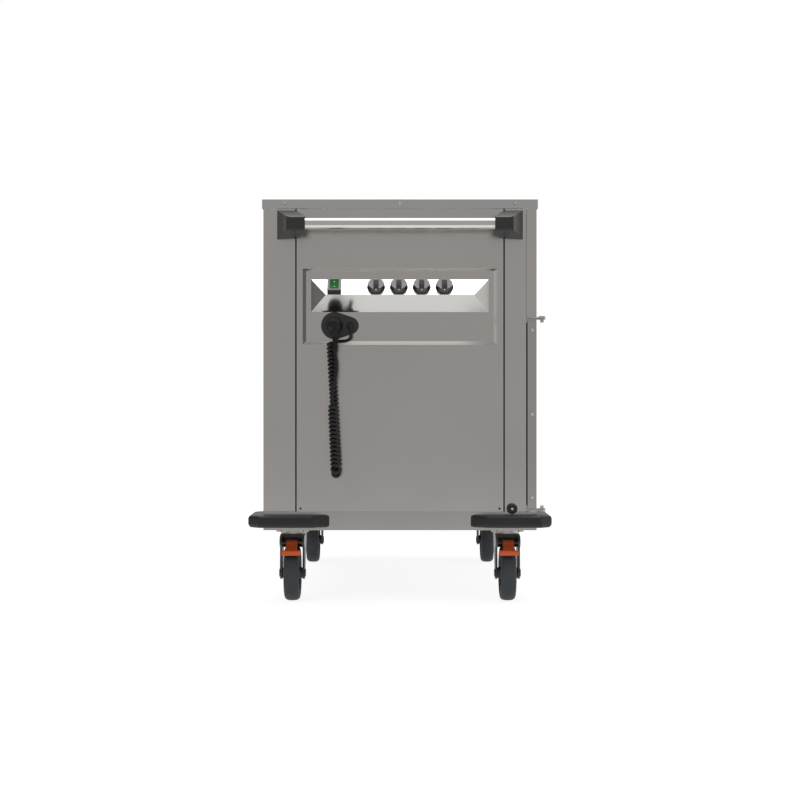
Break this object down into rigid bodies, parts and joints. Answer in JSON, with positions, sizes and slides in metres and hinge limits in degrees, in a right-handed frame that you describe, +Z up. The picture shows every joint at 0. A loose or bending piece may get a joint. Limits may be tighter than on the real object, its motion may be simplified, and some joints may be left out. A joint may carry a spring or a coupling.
{
  "type": "heated food trolley",
  "caption": "Stainless heated food-serving trolley with water wells over a hinged-door cupboard, control end with push handle and curly mains cord, on braked swivel and fixed casters.",
  "frame": {"origin": "bottom centre of the bounding box, on the floor", "axes": "+Z up, +Y from the control end to the far end, +X to the door side"},
  "size_m": [0.67, 1.268, 0.9],
  "materials": {
    "satin_steel": "satin ground stainless steel",
    "polished_steel": "bright drawn stainless steel",
    "zinc_steel": "zinc plated steel",
    "black_rubber": "matt",
    "black_plastic": "fine grained",
    "green_rocker": "translucent, lit from inside in use",
    "orange_paint": "gloss paint",
    "grey_tyre": "non-marking grey rubber",
    "black_steel": "black paint on pressed steel",
    "valve_brass": "plain",
    "red_paint": "gloss paint",
    "heater_rubber": "silicone mat",
    "mineral_wool": "pressed mineral wool",
    "ivory_plastic": "plain"
  },
  "bodies": {
    "chassis": {"top_deck": "satin_steel", "heated_wells": "polished_steel", "heating_mats": "heater_rubber", "drain_pipes": "polished_steel", "drain_valve": "valve_brass", "left_panel": "satin_steel", "rear_panel": "satin_steel", "right_fascia": "satin_steel", "corner_posts": "satin_steel", "base_frame": "satin_steel", "service_panel": "satin_steel", "console_housing": "polished_steel", "cabinet_liner": "polished_steel", "bay_dividers": "polished_steel", "pan_runners": "polished_steel", "wall_insulation": "mineral_wool", "thermostats": "zinc_steel", "terminal_block": "ivory_plastic", "switch_bezel": "black_plastic", "cord_holder": "black_plastic", "cord_gland": "black_rubber", "supply_lead": "black_rubber", "curly_cord": "black_rubber", "plug_lead": "black_rubber", "mains_plug": "black_rubber", "handle_tube": "polished_steel", "handle_brackets": "black_plastic", "corner_bumpers": "black_rubber", "hinge_arms": "zinc_steel", "hinge_pins": "zinc_steel", "door_seals": "black_rubber", "door_buffer": "black_rubber", "panel_screws": "zinc_steel", "caster_plates": "zinc_steel", "caster_bolts": "zinc_steel", "fixed_forks": "black_steel"},
    "front_door": {"front_door_shell": "satin_steel", "front_door_liner": "polished_steel"},
    "middle_door": {"middle_door_shell": "satin_steel", "middle_door_liner": "polished_steel"},
    "rear_door": {"rear_door_shell": "satin_steel", "rear_door_liner": "polished_steel"},
    "rocker": {"power_rocker": "green_rocker"},
    "knob_1": {"front_well_knob": "black_plastic"},
    "knob_2": {"middle_well_knob": "black_plastic"},
    "knob_3": {"rear_well_knob": "black_plastic"},
    "knob_4": {"cupboard_knob": "black_plastic"},
    "drain_handle": {"drain_lever": "red_paint"},
    "left_swivel": {"left_swivel_fork": "black_steel"},
    "right_swivel": {"right_swivel_fork": "black_steel"},
    "left_pedal": {"left_brake_pedal": "orange_paint"},
    "right_pedal": {"right_brake_pedal": "orange_paint"},
    "front_left_wheel": {"front_left_tyre": "grey_tyre", "front_left_wheel_core": "black_plastic"},
    "front_right_wheel": {"front_right_tyre": "grey_tyre", "front_right_wheel_core": "black_plastic"},
    "rear_left_wheel": {"rear_left_tyre": "grey_tyre", "rear_left_wheel_core": "black_plastic"},
    "rear_right_wheel": {"rear_right_tyre": "grey_tyre", "rear_right_wheel_core": "black_plastic"}
  },
  "joints": [
    {"name": "front_door_hinge", "type": "hinge", "parent": "chassis", "child": "front_door", "pos_m": [0.3145, -0.543, 0.424], "axis": [0, 0, -1], "range_deg": [0, 264]},
    {"name": "middle_door_hinge", "type": "hinge", "parent": "chassis", "child": "middle_door", "pos_m": [0.3145, -0.16033, 0.424], "axis": [0, 0, -1], "range_deg": [0, 180]},
    {"name": "rear_door_hinge", "type": "hinge", "parent": "chassis", "child": "rear_door", "pos_m": [0.3145, 0.22233, 0.424], "axis": [0, 0, -1], "range_deg": [0, 180]},
    {"name": "power_rocker_tilt", "type": "hinge", "parent": "chassis", "child": "rocker", "pos_m": [-0.144, -0.57854, 0.70654], "axis": [-1, 0, 0], "range_deg": [0, 12]},
    {"name": "front_well_knob_turn", "type": "hinge", "parent": "chassis", "child": "knob_1", "pos_m": [-0.0525, -0.575, 0.703], "axis": [0, 0.7071, -0.7071], "range_deg": [0, 270]},
    {"name": "middle_well_knob_turn", "type": "hinge", "parent": "chassis", "child": "knob_2", "pos_m": [-0.0025, -0.575, 0.703], "axis": [0, 0.7071, -0.7071], "range_deg": [0, 270]},
    {"name": "rear_well_knob_turn", "type": "hinge", "parent": "chassis", "child": "knob_3", "pos_m": [0.0475, -0.575, 0.703], "axis": [0, 0.7071, -0.7071], "range_deg": [0, 270]},
    {"name": "cupboard_knob_turn", "type": "hinge", "parent": "chassis", "child": "knob_4", "pos_m": [0.0975, -0.575, 0.703], "axis": [0, 0.7071, -0.7071], "range_deg": [0, 270]},
    {"name": "drain_lever_turn", "type": "hinge", "parent": "chassis", "child": "drain_handle", "pos_m": [-0.2858, 0.315, 0.17], "axis": [0, 0, 1], "range_deg": [0, 90]},
    {"name": "left_caster_swivel", "type": "hinge", "parent": "chassis", "child": "left_swivel", "pos_m": [-0.244, -0.406, 0.145], "axis": [0, 0, 1], "continuous": true},
    {"name": "right_caster_swivel", "type": "hinge", "parent": "chassis", "child": "right_swivel", "pos_m": [0.244, -0.406, 0.145], "axis": [0, 0, 1], "continuous": true},
    {"name": "left_brake_press", "type": "hinge", "parent": "left_swivel", "child": "left_pedal", "pos_m": [-0.244, -0.465, 0.1325], "axis": [1, 0, 0], "range_deg": [0, 10]},
    {"name": "right_brake_press", "type": "hinge", "parent": "right_swivel", "child": "right_pedal", "pos_m": [0.244, -0.465, 0.1325], "axis": [1, 0, 0], "range_deg": [0, 10]},
    {"name": "front_left_wheel_spin", "type": "hinge", "parent": "left_swivel", "child": "front_left_wheel", "pos_m": [-0.244, -0.444, 0.0625], "axis": [1, 0, 0], "continuous": true},
    {"name": "front_right_wheel_spin", "type": "hinge", "parent": "right_swivel", "child": "front_right_wheel", "pos_m": [0.244, -0.444, 0.0625], "axis": [1, 0, 0], "continuous": true},
    {"name": "rear_left_wheel_spin", "type": "hinge", "parent": "chassis", "child": "rear_left_wheel", "pos_m": [-0.244, 0.458, 0.0625], "axis": [1, 0, 0], "continuous": true},
    {"name": "rear_right_wheel_spin", "type": "hinge", "parent": "chassis", "child": "rear_right_wheel", "pos_m": [0.244, 0.458, 0.0625], "axis": [1, 0, 0], "continuous": true}
  ]
}
